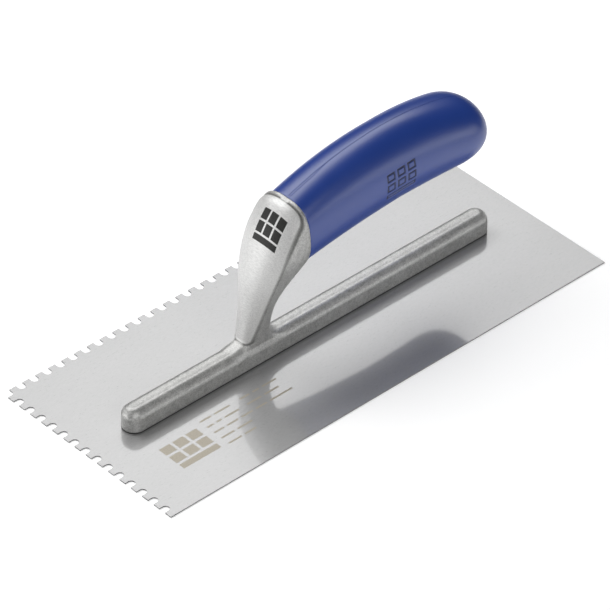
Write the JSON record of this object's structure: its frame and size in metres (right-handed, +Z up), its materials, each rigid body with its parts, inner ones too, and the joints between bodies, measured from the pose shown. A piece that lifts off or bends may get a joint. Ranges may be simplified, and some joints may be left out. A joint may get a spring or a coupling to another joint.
{
  "type": "notched trowel",
  "caption": "Hand tool for combing tile adhesive: thin steel blade notched on the toe and one long edge, cast bar and neck, curved moulded handle.",
  "frame": {"origin": "centre of the blade's working face (its underside)", "axes": "+X from toe to heel along the blade, +Y towards the notched long edge, +Z up to the handle"},
  "size_m": [0.28, 0.12, 0.0974],
  "materials": {
    "blade_steel": "fine brushed, semi-gloss",
    "cast_aluminium": "as cast, tumbled; front of the neck linished",
    "rivet_steel": "ground flush",
    "core_plastic": "plain moulded",
    "grip_plastic": "satin moulded, deep blue"
  },
  "bodies": {
    "root": {"blade": "blade_steel", "mounting": "cast_aluminium", "blade_rivets": "rivet_steel", "handle_core": "core_plastic", "handle_grip": "grip_plastic"}
  },
  "joints": []
}
